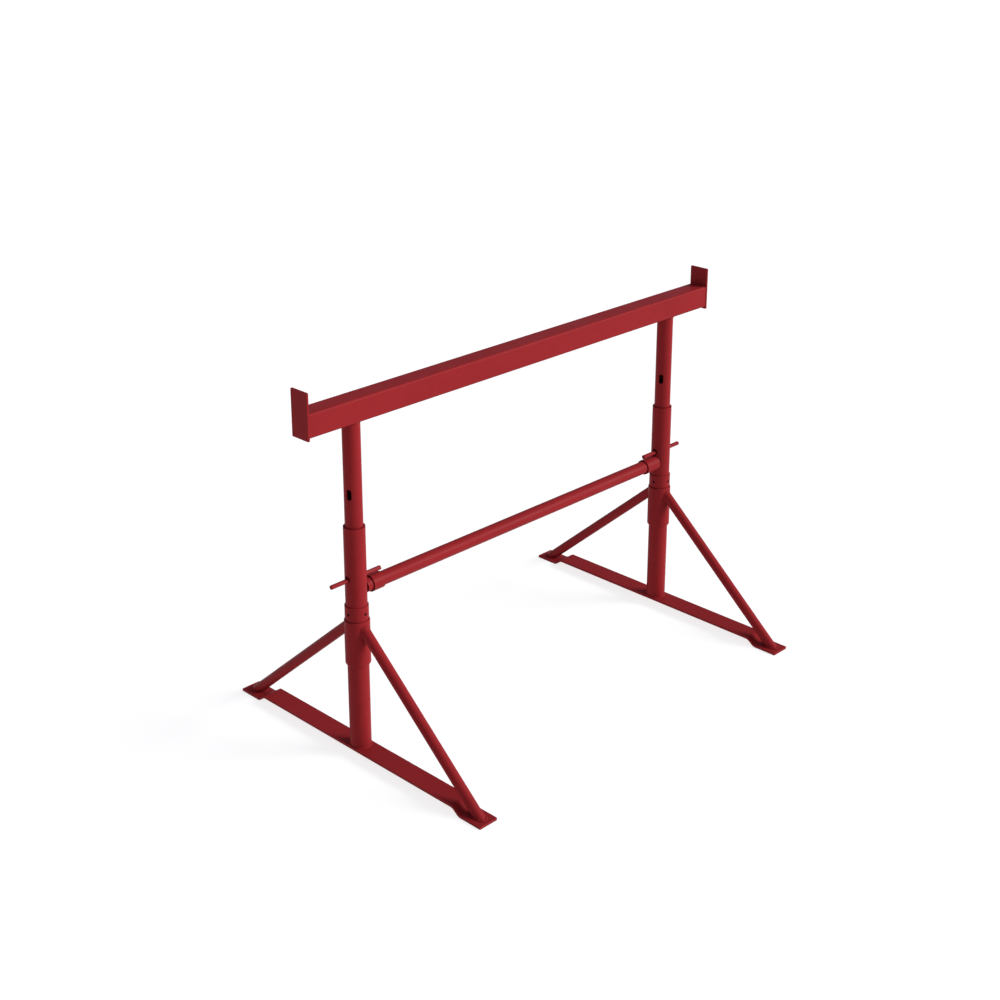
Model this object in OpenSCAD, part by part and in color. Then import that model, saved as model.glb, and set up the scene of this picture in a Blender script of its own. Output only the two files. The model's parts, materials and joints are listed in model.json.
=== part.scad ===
// Adjustable trestle: a box beam on two telescopic legs, a tubular crossbar,
// and two swivelling feet that turn into line with the beam for storage.
// Frame: +X along the beam, +Z up, origin on the floor under the beam's middle.

/* [Beam] */
// Length of the box beam between its end plates
beam_len = 1294; // [1200:2:1500]
// Width of the beam, across Y
beam_w = 50; // [40:1:60]
// Height of the beam section
beam_h = 54; // [40:1:60]
// Wall of the beam section
beam_wall = 2.5; // [2:0.5:4]
// Outside corner radius of the beam section
beam_round = 5; // [3:0.5:7]
// Height of the beam's top face above the floor
beam_top = 847; // [830:1:880]

/* [End plates] */
// Width of each end plate, across Y
plate_w = 52; // [50:1:60]
// Height of each end plate
plate_h = 105; // [95:1:120]
// How far each plate stands above the beam
plate_rise = 46; // [30:1:60]
// Thickness of each plate
plate_t = 4; // [3:1:8]
// Corner radius of the plates
plate_round = 2; // [1:0.5:6]

/* [Legs] */
// Distance between the two leg axes
leg_spacing = 1034; // [980:2:1100]
// Outside diameter of the fixed leg tubes and the foot posts
outer_d = 48.3; // [48:0.1:49]
// Wall of the fixed leg tubes and the foot posts
outer_wall = 3.2; // [2.9:0.1:3.6]
// Height of the fixed tubes' open tops
outer_top = 553; // [520:1:580]
// Outside diameter of the sliding inner tubes
inner_d = 40; // [38:0.5:41]
// Wall of the inner tubes
inner_wall = 3; // [2:0.5:4]
// Height of the inner tubes' lower ends
inner_bottom = 220; // [215:1:225]
// Height of the middle of the slot in each inner tube
slot_z = 631; // [620:1:640]
// Width of the slot
slot_w = 11.5; // [9:0.5:13]
// Length of the slot, up the tube
slot_len = 25; // [18:1:30]
// Direction the slot faces, in degrees from +X
slot_turn = 203.5; // [180:0.5:225]

/* [Height pins] */
// Height of the pin axes
pin_z = 431; // [429:1:440]
// Diameter of the pins
pin_d = 10; // [8:0.5:11]
// Length of the pins
pin_len = 140; // [120:2:160]
// Diameter of the holes through the fixed tubes
outer_hole_d = 15; // [12:0.5:15]
// Diameter of the holes through the inner tubes
inner_hole_d = 12; // [11.5:0.5:13]
// Distance from one setting hole to the next
hole_pitch = 50; // [40:1:51]
// Setting holes above the one in use
holes_up = 2; // [1:1:2]
// Setting holes below the one in use
holes_down = 4; // [2:1:4]

/* [Crossbar] */
// Height of the crossbar's axis
bar_z = 403; // [395:1:404]
// Outside diameter of the crossbar, and of the stub on the left leg
bar_d = 32; // [28:0.5:33]
// Wall of the crossbar and the stub
bar_wall = 2.5; // [2:0.5:3]
// Outside diameter of the ferrule and the socket
sleeve_d = 38; // [37:0.5:40]
// Distance from the left leg's axis to the near end of the ferrule
ferrule_from = 38; // [34:1:45]
// Distance from each leg's axis to the far end of its ferrule or socket
sleeve_to = 69; // [60:1:80]
// How far the crossbar reaches into the ferrule and into the socket
bar_grip = 15; // [8:1:20]

/* [Swivels] */
// Outside diameter of the collar's visible ring
ring_d = 53.2; // [53:0.1:54]
// Height of the ring's top
ring_top = 368; // [360:1:375]
// Height of the joint between ring and swivel sleeve
swivel_top = 333; // [330:1:340]
// Height of the swivel sleeve's lower end
swivel_bottom = 225; // [215:1:235]
// Outside diameter of the swivel sleeve
swivel_d = 57; // [56:0.5:60]
// Radius of the rounded lower edge of the swivel sleeve
swivel_round = 4; // [2:0.5:4]
// Diameter of the set screws
screw_d = 7; // [5:0.5:8]

/* [Feet] */
// Overall length of each foot
foot_len = 806; // [760:2:860]
// Width of the flat base bar
base_w = 50; // [46:1:60]
// Thickness of the flat base bar
base_t = 6; // [5:0.5:8]
// Clear height under the raised middle of the bar
base_lift = 14; // [8:1:16]
// Length of each pad that touches the floor
pad_len = 60; // [50:1:80]
// Horizontal run of the bend between bar and pad
crank_run = 28; // [16:1:34]
// Diameter of the brace tubes
brace_d = 24; // [20:0.5:27]
// Wall of the brace tubes
brace_wall = 2; // [1.5:0.5:3]
// Distance from the leg axis to the brace axis, at floor level
brace_reach = 382; // [370:1:395]
// Height at which the brace axis would meet the leg axis
brace_peak = 333; // [320:1:340]

/* [Hidden] */

$fn = 96;
leg_x = leg_spacing / 2;
beam_under = beam_top - beam_h;
outer_r = outer_d / 2;
// gap between the standing and the turning end faces inside a swivel
face_gap = 0.3;
// open groove that shows between the collar's ring and the swivel sleeve
groove_gap = 3;
// chamfers of the ring and of the sleeve at that groove
ring_edge = 0.8;
sleeve_edge = 1.5;
// radial clearance of a turning or sliding fit
fit_gap = 0.08;
// clearance left where a pin bears on the edge of a hole
bearing_gap = 0.05;
// height of the seat on which the fixed tube stands, inside the swivel sleeve
seat_z = 246;
// outside radius of the collar's journal, the part hidden in the swivel sleeve
journal_r = 25.5;
// heights and radii of the snap ring that holds collar and sleeve together
snap_z = 258;
snap_h = 2;
snap_in = 24.7;
snap_out = 26.7;
snap_gap_angle = 20;
// set screws round each collar, and the direction of the first, counted from +X
screw_count = 4;
screw_turn = 5;
screw_z = (ring_top + swivel_top) / 2;
// how far each screw's tip stays short of the fixed tube's bore
screw_short = 0.5;
// depth of a screw's end below the ring's surface, and its hexagon socket
screw_sunk = 1.2;
socket_af = 3;
socket_deep = 2;
chamfer = 1;
// counterbore at the open mouths of the ferrule and the socket
mouth_d = sleeve_d - 2;
mouth_deep = 6;
// how far a cutting shape runs past the surface it cuts
over = 1;
// distance from a leg's axis to the square-cut end of the stub or socket welded to it
butt_from = 23;
paint = [0.62, 0.12, 0.14];

// moves a part from the origin to the left leg's axis or the right leg's
module at_left() { translate([-leg_x, 0, 0]) children(); }
module at_right() { translate([leg_x, 0, 0]) children(); }

// flat outline with rounded corners, centred on the origin
module rounded_rect(w, h, r) {
    square([w - 2 * r, h], center = true);
    square([w, h - 2 * r], center = true);
    for (x = [-1, 1], y = [-1, 1])
        translate([x * (w / 2 - r), y * (h / 2 - r)]) circle(r);
}

// upright tube between two heights
module tube(d, wall, z0, z1) {
    translate([0, 0, z0]) difference() {
        cylinder(d = d, h = z1 - z0);
        translate([0, 0, -over]) cylinder(d = d - 2 * wall, h = z1 - z0 + 2 * over);
    }
}

// round bar or hole along X, centred on a leg
module along_x(d, len, z) {
    translate([-len / 2, 0, z]) rotate([0, 90, 0]) cylinder(d = d, h = len);
}

// ---- beam and its end plates

module beam() {
    color(paint)
    translate([-beam_len / 2, 0, beam_top - beam_h / 2]) rotate([90, 0, 90])
    linear_extrude(beam_len) difference() {
        rounded_rect(beam_w, beam_h, beam_round);
        rounded_rect(beam_w - 2 * beam_wall, beam_h - 2 * beam_wall, beam_round - beam_wall);
    }
}

module end_plate() {
    color(paint)
    translate([-beam_len / 2 - plate_t, 0, beam_top + plate_rise - plate_h / 2])
    rotate([90, 0, 90]) linear_extrude(plate_t) rounded_rect(plate_w, plate_h, plate_round);
}

// ---- telescopic legs

// cutter for the slot, from the leg's axis outwards, through one wall of the tube
module slot_cut() {
    straight = slot_len - slot_w;
    translate([0, 0, slot_z]) rotate([0, 0, slot_turn]) rotate([90, 0, 90])
    linear_extrude(inner_d) {
        square([slot_w, straight], center = true);
        for (end = [-1, 1]) translate([0, end * straight / 2]) circle(slot_w / 2);
    }
}

// the edge of each setting hole comes to rest on the pin from above
module inner_tube() {
    first = pin_z - (inner_hole_d - pin_d) / 2 + bearing_gap;
    color(paint) difference() {
        tube(inner_d, inner_wall, inner_bottom, beam_under);
        for (k = [-holes_down:holes_up])
            along_x(inner_hole_d, inner_d + 2 * over, first + k * hole_pitch);
        slot_cut();
    }
}

// the pin lies on the lower edge of the hole through this tube
module outer_tube() {
    hole_z = pin_z + (outer_hole_d - pin_d) / 2 - bearing_gap;
    color(paint) difference() {
        tube(outer_d, outer_wall, seat_z + face_gap, outer_top);
        along_x(outer_hole_d, outer_d + 2 * over, hole_z);
        screw_holes();
    }
}

module height_pin() {
    color(paint)
    translate([-pin_len / 2, 0, pin_z]) rotate([0, 90, 0]) {
        cylinder(d1 = pin_d - 2 * chamfer, d2 = pin_d, h = chamfer);
        translate([0, 0, chamfer]) cylinder(d = pin_d, h = pin_len - 2 * chamfer);
        translate([0, 0, pin_len - chamfer])
            cylinder(d1 = pin_d, d2 = pin_d - 2 * chamfer, h = chamfer);
    }
}

// ---- crossbar: a ferrule joins its left end to a stub, and its right end sits in a socket

module leg_body() { cylinder(d = outer_d, h = outer_top); }

// turns an upright part on a leg's axis to point along the crossbar
module toward_bar() { translate([0, 0, bar_z]) rotate([0, 90, 0]) children(); }

// bore of a ferrule or socket that opens into a counterbore at one end
module mouth(at) { translate([0, 0, at]) cylinder(d = mouth_d, h = mouth_deep + over); }

module crossbar() {
    from = -leg_x + sleeve_to - bar_grip;
    to = leg_x - sleeve_to + bar_grip;
    color(paint) toward_bar() tube(bar_d, bar_wall, from, to);
}

module crossbar_stub() {
    color(paint) difference() {
        toward_bar() tube(bar_d, bar_wall, butt_from, sleeve_to - bar_grip);
        leg_body();
    }
}

module crossbar_ferrule() {
    color(paint) toward_bar() difference() {
        tube(sleeve_d, (sleeve_d - bar_d) / 2, ferrule_from, sleeve_to);
        mouth(ferrule_from - over);
        mouth(sleeve_to - mouth_deep);
    }
}

// made for the left leg, and mirrored where it is used
module crossbar_socket() {
    color(paint) difference() {
        toward_bar() difference() {
            tube(sleeve_d, (sleeve_d - bar_d) / 2, butt_from, sleeve_to);
            mouth(sleeve_to - mouth_deep);
        }
        leg_body();
    }
}

// ---- swivels

// sets out a part that lies along +X at each set screw's place
module at_screws() {
    for (k = [1:screw_count])
        rotate([0, 0, screw_turn + 360 * k / screw_count])
            translate([0, 0, screw_z]) rotate([0, 90, 0]) children();
}

module screw_holes() {
    at_screws() translate([0, 0, outer_r / 2]) cylinder(d = screw_d, h = ring_d);
}

module swivel_collar() {
    ring_r = ring_d / 2;
    ring_low = swivel_top + groove_gap;
    groove = snap_out - snap_in + over;
    color(paint) difference() {
        rotate_extrude() polygon([
            [outer_r, seat_z + face_gap], [journal_r, seat_z + face_gap],
            [journal_r, ring_low], [ring_r - ring_edge, ring_low], [ring_r, ring_low + ring_edge],
            [ring_r, ring_top - chamfer], [ring_r - chamfer, ring_top], [outer_r, ring_top]
        ]);
        rotate_extrude() translate([snap_in - fit_gap, snap_z - face_gap])
            square([groove, snap_h + 2 * face_gap]);
        screw_holes();
    }
}

module collar_screws() {
    inner_end = outer_r - outer_wall + screw_short;
    outer_end = ring_d / 2 - screw_sunk;
    color("dimgray")
    at_screws() difference() {
        translate([0, 0, inner_end])
            cylinder(d = screw_d - 2 * bearing_gap, h = outer_end - inner_end);
        translate([0, 0, outer_end - socket_deep])
            cylinder(d = socket_af / cos(30), h = socket_deep + over, $fn = 6);
    }
}

module retaining_ring() {
    color("silver")
    rotate([0, 0, snap_gap_angle / 2]) rotate_extrude(angle = 360 - snap_gap_angle)
        translate([snap_in, snap_z]) square([snap_out - snap_in, snap_h]);
}

module swivel_sleeve() {
    r = swivel_d / 2;
    bore = journal_r + fit_gap;
    rounding = [for (a = [-90:15:0])
        [r - swivel_round + swivel_round * cos(a), swivel_bottom + swivel_round + swivel_round * sin(a)]];
    groove_r = snap_out + face_gap;
    color(paint) difference() {
        rotate_extrude() polygon(concat(
            [[outer_r, swivel_bottom]], rounding,
            [[r, swivel_top - sleeve_edge], [r - sleeve_edge, swivel_top]],
            [[bore, swivel_top], [bore, seat_z], [outer_r, seat_z]]
        ));
        rotate_extrude() translate([bore - over, snap_z - face_gap])
            square([groove_r - bore + over, snap_h + 2 * face_gap]);
    }
}

// ---- feet

module foot_post() {
    color(paint) tube(outer_d, outer_wall, base_lift + base_t, seat_z);
}

// height of the bar's underside, from the raised middle down an S-bend to the pads
function under_z(y) =
    let(t = (foot_len / 2 - pad_len - abs(y)) / crank_run)
    t <= 0 ? 0 : t >= 1 ? base_lift : base_lift * (1 - cos(180 * t)) / 2;

// flat bar whose ends step down to the floor
module base_bar() {
    half = foot_len / 2;
    bend = [for (i = [0:12]) half - pad_len - crank_run + crank_run * i / 12];
    right_ys = concat(bend, [half]);
    ys = concat([for (i = [len(right_ys) - 1:-1:0]) -right_ys[i]], right_ys);
    low = [for (y = ys) [y, under_z(y)]];
    high = [for (i = [len(ys) - 1:-1:0]) [ys[i], under_z(ys[i]) + base_t]];
    color(paint)
    translate([-base_w / 2, 0, 0]) rotate([90, 0, 90])
    linear_extrude(base_w) polygon(concat(low, high));
}

// round tube from the pad's top up to the swivel sleeve's side
module brace(side) {
    lean = atan2(brace_reach, brace_peak);
    len = norm([brace_reach, brace_peak]);
    color(paint) difference() {
        translate([0, side * brace_reach, 0]) rotate([side * lean, 0, 0])
            tube(brace_d, brace_wall, -brace_d, len);
        cylinder(d = swivel_d, h = 2 * brace_peak);
        translate([-base_w, -foot_len, base_t - foot_len])
            cube([2 * base_w, 2 * foot_len, foot_len]);
    }
}

beam();
end_plate();  // end_plate_left
mirror([1, 0, 0]) end_plate();  // end_plate_right
at_left() inner_tube();  // inner_tube_left
at_right() inner_tube();  // inner_tube_right
at_left() outer_tube();  // outer_tube_left
at_right() outer_tube();  // outer_tube_right
crossbar();
at_left() crossbar_stub();  // crossbar_stub_left
at_left() crossbar_ferrule();  // crossbar_ferrule_left
at_right() mirror([1, 0, 0]) crossbar_socket();  // crossbar_socket_right
at_left() swivel_collar();  // swivel_collar_left
at_right() swivel_collar();  // swivel_collar_right
at_left() collar_screws();  // collar_screws_left
at_right() collar_screws();  // collar_screws_right
at_left() retaining_ring();  // retaining_ring_left
at_right() retaining_ring();  // retaining_ring_right
at_left() swivel_sleeve();  // swivel_sleeve_left
at_right() swivel_sleeve();  // swivel_sleeve_right
at_left() foot_post();  // foot_post_left
at_right() foot_post();  // foot_post_right
at_left() base_bar();  // base_bar_left
at_right() base_bar();  // base_bar_right
at_left() brace(-1);  // front_brace_left
at_right() brace(-1);  // front_brace_right
at_left() brace(1);  // back_brace_left
at_right() brace(1);  // back_brace_right
at_left() height_pin();  // height_pin_left
at_right() height_pin();  // height_pin_right
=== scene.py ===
"""Looks for the adjustable trestle: red enamel, painted weld beads, a pale floor and soft studio light."""

import json
import math

import bmesh
import bpy
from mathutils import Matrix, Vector


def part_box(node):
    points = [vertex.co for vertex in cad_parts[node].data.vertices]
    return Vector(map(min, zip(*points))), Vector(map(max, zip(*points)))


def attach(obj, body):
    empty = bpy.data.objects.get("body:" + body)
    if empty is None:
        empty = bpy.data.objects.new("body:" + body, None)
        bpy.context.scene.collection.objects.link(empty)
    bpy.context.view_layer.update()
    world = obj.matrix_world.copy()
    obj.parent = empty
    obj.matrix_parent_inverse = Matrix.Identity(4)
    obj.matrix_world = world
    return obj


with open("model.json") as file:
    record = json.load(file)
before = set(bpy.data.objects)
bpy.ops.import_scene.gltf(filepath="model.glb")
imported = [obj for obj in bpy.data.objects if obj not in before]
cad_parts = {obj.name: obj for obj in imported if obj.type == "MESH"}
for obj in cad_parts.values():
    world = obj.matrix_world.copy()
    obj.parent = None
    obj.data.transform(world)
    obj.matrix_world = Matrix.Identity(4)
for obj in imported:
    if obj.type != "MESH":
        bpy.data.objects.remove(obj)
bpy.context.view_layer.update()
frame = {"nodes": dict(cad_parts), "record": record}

# ---- Places worked out from the frame, in metres

SIDES = ("left", "right")
MM = 0.001


def middle(node):
    low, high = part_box(node)
    return (low + high) / 2


def span(node):
    low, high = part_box(node)
    return high - low


LEG_X = {side: middle(f"foot_post_{side}").x for side in SIDES}
# the fixed tube above each collar is as thick as the post below it
POST_R = span("foot_post_left").x / 2
SLEEVE_R = span("swivel_sleeve_left").x / 2
INNER_R = span("inner_tube_left").x / 2
BRACE_R = span("front_brace_left").x / 2
STUB_R = span("crossbar_stub_left").z / 2
SOCKET_R = span("crossbar_socket_right").z / 2
BAR_Z = middle("crossbar").z
SEAT_ON_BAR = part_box("foot_post_left")[0].z
BEAM_LOW, BEAM_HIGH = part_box("beam")
PAD_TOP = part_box("front_brace_left")[0].z
# each brace's axis meets the ground this far out from the leg's axis
BRACE_REACH = 0.382
# and the leg's axis at this height
BRACE_PEAK = 0.333
# radius of the beam's long edges
BEAM_CORNER = 5 * MM

# ---- Materials


class Nodes:
    """A short way to build a shader tree."""

    def __init__(self, name):
        self.material = bpy.data.materials.new(name)
        self.material.use_nodes = True
        self.tree = self.material.node_tree
        self.shader = self.tree.nodes["Principled BSDF"]

    def add(self, kind, inputs=None, **settings):
        made = self.tree.nodes.new("ShaderNode" + kind)
        for key, value in settings.items():
            setattr(made, key, value)
        for key, value in (inputs or {}).items():
            if isinstance(value, bpy.types.NodeSocket):
                self.tree.links.new(value, made.inputs[key])
            else:
                made.inputs[key].default_value = value
        return made

    def noise(self, where, scale, detail=3.0, roughness=0.55):
        values = {"Vector": where, "Scale": scale, "Detail": detail, "Roughness": roughness}
        return self.add("TexNoise", values).outputs["Fac"]

    def math(self, operation, a, b=0.5):
        return self.add("Math", {0: a, 1: b}, operation=operation).outputs[0]

    def spread(self, value, low, high, to_low=0.0, to_high=1.0):
        ranges = {"Value": value, 1: low, 2: high, 3: to_low, 4: to_high}
        return self.add("MapRange", ranges).outputs["Result"]

    def mix(self, factor, a, b):
        made = self.add("Mix", {0: factor, 6: a, 7: b}, data_type="RGBA")
        return made.outputs[2]

    def link(self, value, socket):
        self.tree.links.new(value, self.shader.inputs[socket])


RED = (0.226, 0.0145, 0.0165, 1)
DEEP_RED = (0.185, 0.0122, 0.0145, 1)
# a lighter red for the edges: partly worn thin paint, partly a painted highlight
WORN_AND_LIT_RED = (0.270, 0.022, 0.022, 1)
# painted shade: a near-black red laid where creases, recesses and joints fall in shade
CREVICE_SHADE_RED = (0.045, 0.0016, 0.0018, 1)
BARE_STEEL = (0.16, 0.125, 0.115, 1)

# sizes of the paint's own patterns, as noise scales in object space
DRIFT_SCALE = 3.5
MOTTLE_SCALE = 42.0
PATCH_SCALE = 95.0
GLOSS_SCALE = 17.0
SKIN_SCALE = 520.0
FLOW_SCALE = 130.0
# scuffs are stretched along the pin
SCUFF_STRETCH = (25.0, 420.0, 420.0)
# how the drift and the mottle share the paint's depth
DRIFT_SHARE = 0.65
# the radius the edge test looks over for the worn and highlighted edges
WORN_LIT_EDGE_RADIUS = 1.1 * MM
# how far the ambient-occlusion test looks when it paints shade into creases and joints
PAINTED_SHADE_REACH = 7 * MM
# open sky below the first value starts the painted shade in creases, recesses and between parts, and at
# the second the paint is fully shaded
PAINTED_SHADE_FADE = (0.68, 0.34)
SMOOTHEST = 0.34
ROUGHEST = 0.46
PEEL_STRENGTH = 0.10
PEEL_DEPTH = 0.5 * MM
PAINT_SPECULAR = 0.025


def enamel(name, peel=1.0, edge_wear_and_highlight=0.35, scuff=0.0):
    """Red enamel: slow drift in depth, orange peel, a lighter red along the edges that is partly worn
    paint and partly a painted highlight, and painted shade in creases and recesses.
    """
    n = Nodes(name)
    where = n.add("TexCoord").outputs["Object"]
    drift = n.spread(n.noise(where, DRIFT_SCALE), 0.3, 0.7)
    mottle = n.spread(n.noise(where, MOTTLE_SCALE), 0.3, 0.7)
    slow = n.math("MULTIPLY", drift, DRIFT_SHARE)
    depth = n.math("ADD", slow, n.math("MULTIPLY", mottle, 1 - DRIFT_SHARE))
    paint = n.mix(depth, DEEP_RED, RED)

    rounded = n.add("Bevel", {"Radius": WORN_LIT_EDGE_RADIUS}, samples=6).outputs["Normal"]
    true = n.add("NewGeometry").outputs["Normal"]
    facing = n.add("VectorMath", {0: rounded, 1: true}, operation="DOT_PRODUCT").outputs["Value"]
    edge = n.spread(facing, 0.995, 0.86)
    patchy = n.spread(n.noise(where, PATCH_SCALE, 4.0), 0.42, 0.62)
    # edges take a lighter red: partly worn paint, partly a painted highlight
    worn_lit_edge = n.math("MULTIPLY", edge, n.math("MULTIPLY", patchy, edge_wear_and_highlight))
    paint = n.mix(worn_lit_edge, paint, WORN_AND_LIT_RED)
    # painted shade: the paint turns near-black red where ambient occlusion finds creases, recesses and
    # joints
    open_sky = n.add("AmbientOcclusion", {"Distance": PAINTED_SHADE_REACH}, samples=8).outputs["AO"]
    paint = n.mix(n.spread(open_sky, *PAINTED_SHADE_FADE), paint, CREVICE_SHADE_RED)
    if scuff:
        streaks = n.add("Mapping", {"Vector": where, "Scale": SCUFF_STRETCH}).outputs[0]
        marks = n.spread(n.noise(streaks, 1.0, 5.0, 0.65), 0.60, 0.72)
        paint = n.mix(n.math("MULTIPLY", marks, scuff), paint, BARE_STEEL)
    n.link(paint, "Base Color")

    gloss = n.spread(n.noise(where, GLOSS_SCALE, 4.0), 0.3, 0.7, SMOOTHEST, ROUGHEST)
    n.link(n.math("ADD", gloss, n.math("MULTIPLY", worn_lit_edge, 0.25)), "Roughness")

    skin = n.noise(where, SKIN_SCALE, 2.0)
    flow = n.noise(where, FLOW_SCALE, 2.0)
    height = n.math("ADD", n.math("MULTIPLY", skin, 0.6), n.math("MULTIPLY", flow, 0.4))
    values = {"Height": height, "Strength": PEEL_STRENGTH * peel, "Distance": PEEL_DEPTH}
    n.link(n.add("Bump", values).outputs["Normal"], "Normal")
    n.shader.inputs["Specular IOR Level"].default_value = PAINT_SPECULAR
    return n.material


def steel(name, colour, roughness, metallic=1.0):
    """Plain or stained steel with a fine grain and a little grime."""
    n = Nodes(name)
    where = n.add("TexCoord").outputs["Object"]
    grime = n.spread(n.noise(where, 160.0, 5.0), 0.35, 0.7)
    dark = tuple(0.45 * c for c in colour[:3]) + (1,)
    n.link(n.mix(grime, colour, dark), "Base Color")
    n.link(n.spread(n.noise(where, 300.0), 0.3, 0.7, roughness, roughness + 0.2), "Roughness")
    marks = n.add("Bump", {"Height": n.noise(where, 900.0), "Strength": 0.15, "Distance": 0.2 * MM})
    n.link(marks.outputs["Normal"], "Normal")
    n.shader.inputs["Metallic"].default_value = metallic
    n.shader.inputs["Specular IOR Level"].default_value = 0.5 * metallic
    return n.material


MATERIALS = {
    "red_enamel": enamel("red_enamel"),
    "weld_enamel": enamel("weld_enamel", peel=2.2, edge_wear_and_highlight=0.15),
    "pin_enamel": enamel("pin_enamel", edge_wear_and_highlight=0.8, scuff=0.55),
    "dark_steel": steel("dark_steel", (0.040, 0.008, 0.008, 1), 0.6, metallic=0.2),
    "bright_steel": steel("bright_steel", (0.55, 0.55, 0.57, 1), 0.25),
}


EDGE_WIDTH = 0.45 * MM
# the beam's long edges are already round and its ends are behind the plates; the screws are tiny
UNBEVELLED = ("beam", "collar_screws_left", "collar_screws_right")


def soften(piece, node):
    """A small painted radius on every sharp edge."""
    if node in UNBEVELLED:
        return
    bevel = piece.modifiers.new("edge", "BEVEL")
    bevel.width = EDGE_WIDTH
    bevel.segments = 2
    bevel.limit_method = "ANGLE"
    bevel.angle_limit = math.radians(40)
    bevel.harden_normals = False


def paint_cad_nodes():
    """Each CAD node takes the material its record slot names, and softened edges."""
    slots = {part["node"]: part["material_slot"] for part in frame["record"]["subparts"]}
    for node, piece in frame["nodes"].items():
        piece.data.materials.clear()
        piece.data.materials.append(MATERIALS[slots[node]])
        soften(piece, node)


# ---- Weld beads

BEAD_R = 2.6 * MM
# finer beads where one tube meets the side of another
SADDLE_BEAD_R = 1.5 * MM
RIPPLE_PITCH = 2.6 * MM
RIPPLE_DEPTH = 0.10
RINGS_PER_RIPPLE = 5
BEAD_SIDES = 10
# each drop's edge trails this share of a ripple behind along its sides
CHEVRON = 0.3
# an open bead's thickness at its ends, and the ripples it takes to reach full size
THIN_END = 0.25
TAPER_RIPPLES = 1.5
FEWEST_POINTS = 8
# a path that runs along X by more than this share takes Z as its guide
MOSTLY_X = 0.8


def resample(path, closed, step):
    """Points at even distances along a path."""
    points = list(path) + ([path[0]] if closed else [])
    lengths = [0.0]
    for a, b in zip(points, points[1:]):
        lengths.append(lengths[-1] + (b - a).length)
    count = max(FEWEST_POINTS, round(lengths[-1] / step))
    even = []
    at = 0
    for i in range(count if closed else count + 1):
        target = lengths[-1] * i / count
        while at < len(lengths) - 2 and lengths[at + 1] < target:
            at += 1
        share = (target - lengths[at]) / max(lengths[at + 1] - lengths[at], 1e-12)
        even.append(points[at].lerp(points[at + 1], share))
    return even


def ripple(turns):
    """A rounded step for each drop of weld metal."""
    return abs(math.sin(math.pi * turns)) ** 0.6 - 0.6


def sections(before, after):
    """The two directions that span a bead's cross-section at one point of its path."""
    along = (after - before).normalized()
    guide = Vector((1, 0, 0)) if abs(along.x) < MOSTLY_X else Vector((0, 0, 1))
    across = along.cross(guide).normalized()
    return across, across.cross(along)


def bead_size(i, count, closed):
    """An open bead starts and ends thin, and every bead wanders a little as a hand does."""
    taper = 1.0
    if not closed:
        end = min(i, count - 1 - i) / RINGS_PER_RIPPLE
        taper = max(THIN_END, min(1.0, math.sqrt(end / TAPER_RIPPLES)))
    wander = 1 + 0.05 * math.sin(i * 0.37) + 0.03 * math.sin(i * 0.113 + 1.0)
    return taper * wander


def nearest_turn(a, b):
    """How far ring b is turned against ring a, in points."""
    def miss(offset):
        return sum((a[k].co - b[(k + offset) % BEAD_SIDES].co).length for k in range(BEAD_SIDES))
    return min(range(BEAD_SIDES), key=miss)


def bead_rings(mesh, centres, closed, radius):
    """A ring of points round each centre."""
    count = len(centres)
    ripples = max(1, round(count / RINGS_PER_RIPPLE))
    rings = []
    for i, centre in enumerate(centres):
        before = centres[i - 1] if closed else centres[max(i - 1, 0)]
        after = centres[(i + 1) % count] if closed else centres[min(i + 1, count - 1)]
        across, up = sections(before, after)
        size = radius * bead_size(i, count, closed)
        ring = []
        for k in range(BEAD_SIDES):
            turn = 2 * math.pi * k / BEAD_SIDES
            lag = CHEVRON * math.cos(2 * turn)
            reach = size * (1 + RIPPLE_DEPTH * ripple(ripples * i / count + lag))
            outward = across * math.cos(turn) + up * math.sin(turn)
            ring.append(mesh.verts.new(centre + outward * reach))
        rings.append(ring)
    return rings


def bead_skin(mesh, rings, closed):
    """Faces from each ring to the next, and flat ends on an open bead."""
    pairs = list(zip(rings, rings[1:])) + ([(rings[-1], rings[0])] if closed else [])
    for a, b in pairs:
        offset = nearest_turn(a, b)
        for k in range(BEAD_SIDES):
            m = (k + 1) % BEAD_SIDES
            corners = (a[k], a[m], b[(m + offset) % BEAD_SIDES], b[(k + offset) % BEAD_SIDES])
            mesh.faces.new(corners).smooth = True
    if not closed:
        mesh.faces.new(rings[0])
        mesh.faces.new(rings[-1])
    bmesh.ops.recalc_face_normals(mesh, faces=mesh.faces)


def bead(name, body, path, closed=True, radius=BEAD_R):
    """A rippled bead along a path, half sunk in the two pieces that it joins."""
    centres = resample(path, closed, RIPPLE_PITCH / RINGS_PER_RIPPLE)
    mesh = bmesh.new()
    bead_skin(mesh, bead_rings(mesh, centres, closed, radius), closed)
    data = bpy.data.meshes.new(name)
    mesh.to_mesh(data)
    mesh.free()
    piece = bpy.data.objects.new(name, data)
    bpy.context.scene.collection.objects.link(piece)
    data.materials.append(MATERIALS["weld_enamel"])
    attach(piece, body)


CIRCLE_POINTS = 96


def ring_path(x, y, z, radius):
    """A level circle."""
    turns = [2 * math.pi * i / CIRCLE_POINTS for i in range(CIRCLE_POINTS)]
    return [Vector((x + radius * math.cos(t), y + radius * math.sin(t), z)) for t in turns]


def tube_path(start, along, radius, meets):
    """Where a tube's surface lines end: meets(point, direction) gives each line's length."""
    along = along.normalized()
    guide = Vector((1, 0, 0)) if abs(along.x) < MOSTLY_X else Vector((0, 0, 1))
    side = along.cross(guide).normalized()
    up = side.cross(along)
    path = []
    for i in range(CIRCLE_POINTS):
        turn = 2 * math.pi * i / CIRCLE_POINTS
        point = start + (side * math.cos(turn) + up * math.sin(turn)) * radius
        path.append(point + along * meets(point, along))
    return path


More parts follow.
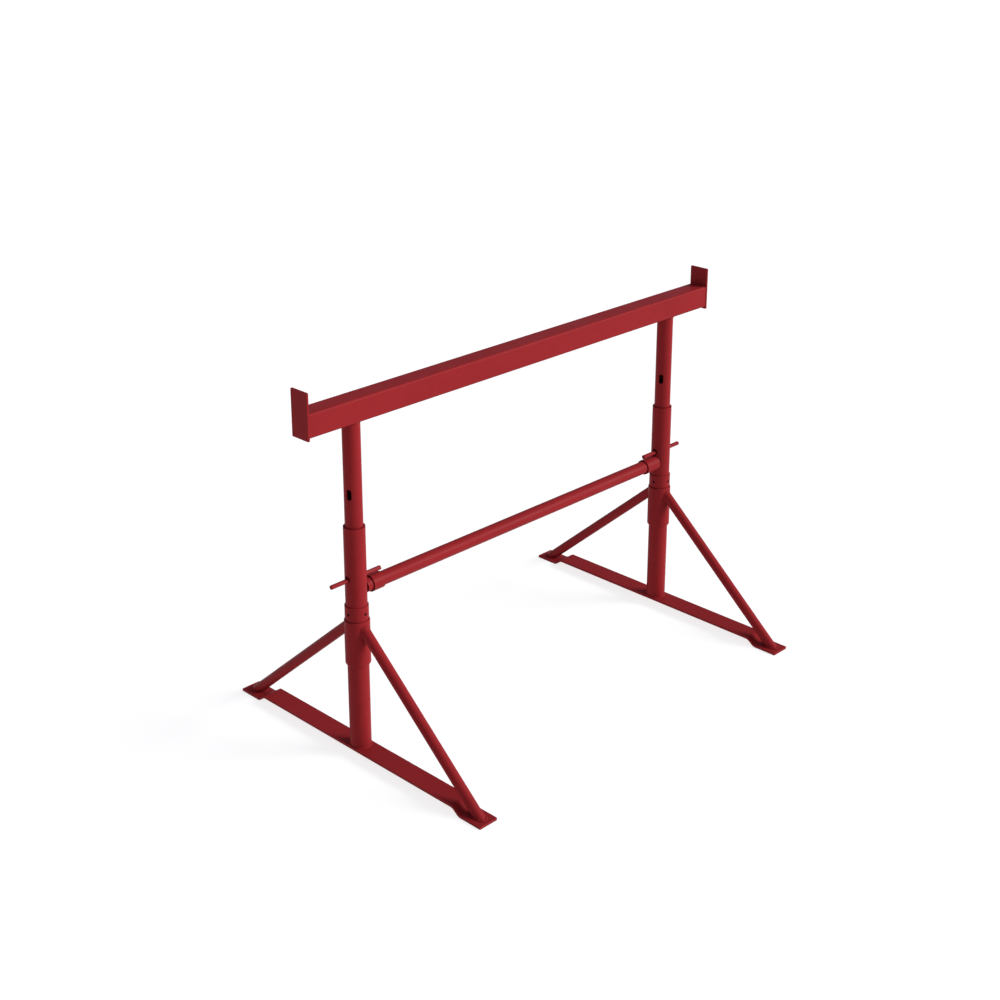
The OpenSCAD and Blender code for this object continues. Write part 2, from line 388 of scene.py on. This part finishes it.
def meets_upright(x, radius):
    """Length of a line to its first meeting with an upright cylinder at (x, 0)."""
    def solve(point, along):
        px, py = point.x - x, point.y
        a = along.x ** 2 + along.y ** 2
        b = 2 * (px * along.x + py * along.y)
        c = px ** 2 + py ** 2 - radius ** 2
        return (-b - math.sqrt(b * b - 4 * a * c)) / (2 * a)
    return solve


def meets_level(z):
    """Length of a line to a level plane."""
    return lambda point, along: (z - point.z) / along.z


def weld_feet():
    for side in SIDES:
        x, body = LEG_X[side], f"foot_{side}"
        bead(f"weld_post_bar_{side}", body, ring_path(x, 0, SEAT_ON_BAR, POST_R))
        for end, sign in (("front", -1), ("back", 1)):
            start = Vector((x, sign * BRACE_REACH, 0))
            along = Vector((0, -sign * BRACE_REACH, BRACE_PEAK))
            saddle = tube_path(start, along, BRACE_R, meets_upright(x, SLEEVE_R))
            bead(f"weld_brace_{end}_sleeve_{side}", body, saddle, radius=SADDLE_BEAD_R)
            oval = tube_path(start, along, BRACE_R, meets_level(PAD_TOP))
            bead(f"weld_brace_{end}_pad_{side}", body, oval)


# half the arc of the tube's end that bears on the leg
SEAT_ANGLE = math.radians(26)
SEAT_POINTS = 12


def seat_path(leg_x, z, radius, lift):
    """The short line where a square-cut level tube bears on a leg, above or below."""
    inward = -math.copysign(1, leg_x)
    path = []
    for i in range(SEAT_POINTS + 1):
        turn = SEAT_ANGLE * (2 * i / SEAT_POINTS - 1)
        y = radius * math.sin(turn)
        reach = math.sqrt(POST_R ** 2 - y ** 2)
        path.append(Vector((leg_x + inward * reach, y, z + lift * radius * math.cos(turn))))
    return path


def weld_crossbar():
    for side, radius, name in (("left", STUB_R, "stub"), ("right", SOCKET_R, "socket")):
        for place, lift in (("top", radius), ("under", -radius)):
            path = seat_path(LEG_X[side], BAR_Z, radius, math.copysign(1, lift))
            label = f"weld_{name}_leg_{place}_{side}"
            bead(label, "main_frame", path, closed=False, radius=SADDLE_BEAD_R)


def weld_beam():
    y = BEAM_HIGH.y - BEAM_CORNER
    for side in SIDES:
        bead(f"weld_leg_beam_{side}", "beam_frame", ring_path(LEG_X[side], 0, BEAM_LOW.z, INNER_R))
        x = BEAM_HIGH.x if side == "right" else BEAM_LOW.x
        for edge, z in (("top", BEAM_HIGH.z), ("under", BEAM_LOW.z)):
            line = [Vector((x, -y, z)), Vector((x, y, z))]
            bead(f"weld_plate_{edge}_{side}", "beam_frame", line, closed=False)


# ---- Floor, light and camera

FLOOR_SIZE = 60.0
FLOOR_WHITE = (0.25, 0.25, 0.25, 1)
# a little light of its own keeps the floor near white, as a studio sweep is
FLOOR_GLOW = 0.80


def make_floor():
    bpy.ops.mesh.primitive_plane_add(size=FLOOR_SIZE, location=(0, 0, 0))
    floor = bpy.context.object
    floor.name = "floor"
    n = Nodes("floor")
    n.shader.inputs["Base Color"].default_value = FLOOR_WHITE
    n.shader.inputs["Roughness"].default_value = 0.9
    n.shader.inputs["Specular IOR Level"].default_value = 0.1
    n.shader.inputs["Emission Color"].default_value = (1, 1, 1, 1)
    n.shader.inputs["Emission Strength"].default_value = FLOOR_GLOW
    floor.data.materials.append(n.material)


# the sky lights the object slightly blue, and the camera sees it as plain white
SKY_COLOUR = (0.94, 0.93, 1.08, 1)
AMBIENT = 0.40
SUN_AZIMUTH = math.radians(-50)
SUN_HEIGHT = math.radians(26)
SUN_STRENGTH = 4.45
SUN_SPREAD = math.radians(30)


def make_light():
    world = bpy.data.worlds.new("studio")
    bpy.context.scene.world = world
    world.use_nodes = True
    tree = world.node_tree
    tree.nodes.clear()
    lit = tree.nodes.new("ShaderNodeBackground")
    lit.inputs["Color"].default_value = SKY_COLOUR
    lit.inputs["Strength"].default_value = AMBIENT
    seen = tree.nodes.new("ShaderNodeBackground")
    seen.inputs["Color"].default_value = (1, 1, 1, 1)
    path = tree.nodes.new("ShaderNodeLightPath")
    both = tree.nodes.new("ShaderNodeMixShader")
    out = tree.nodes.new("ShaderNodeOutputWorld")
    tree.links.new(path.outputs["Is Camera Ray"], both.inputs["Fac"])
    tree.links.new(lit.outputs[0], both.inputs[1])
    tree.links.new(seen.outputs[0], both.inputs[2])
    tree.links.new(both.outputs[0], out.inputs["Surface"])

    data = bpy.data.lights.new("key", "SUN")
    data.energy = SUN_STRENGTH
    data.angle = SUN_SPREAD
    key = bpy.data.objects.new("key", data)
    bpy.context.scene.collection.objects.link(key)
    level = math.cos(SUN_HEIGHT)
    level_x = level * math.cos(SUN_AZIMUTH)
    level_y = level * math.sin(SUN_AZIMUTH)
    toward = Vector((level_x, level_y, math.sin(SUN_HEIGHT)))
    key.rotation_euler = (-toward).to_track_quat("-Z", "Y").to_euler()


CAMERA_PLACE = (-2.582, -2.465, 2.010)
CAMERA_TURN = math.radians(44.57)
CAMERA_DIP = math.radians(19.43)
CAMERA_LENS = 59.2
SENSOR_WIDTH = 36
CAMERA_SHIFT = (0.0019, -0.1195)


def make_camera():
    data = bpy.data.cameras.new("camera")
    data.sensor_width = SENSOR_WIDTH
    data.lens = CAMERA_LENS
    data.shift_x, data.shift_y = CAMERA_SHIFT
    data.clip_start, data.clip_end = 0.05, 200
    camera = bpy.data.objects.new("camera", data)
    bpy.context.scene.collection.objects.link(camera)
    camera.location = CAMERA_PLACE
    # turned from looking down to level, less the dip, then round to its heading
    camera.rotation_euler = (math.pi / 2 - CAMERA_DIP, 0, CAMERA_TURN - math.pi / 2)
    bpy.context.scene.camera = camera


paint_cad_nodes()
weld_feet()
weld_crossbar()
weld_beam()
make_floor()
make_light()
make_camera()
bpy.context.scene.view_settings.view_transform = "Standard"
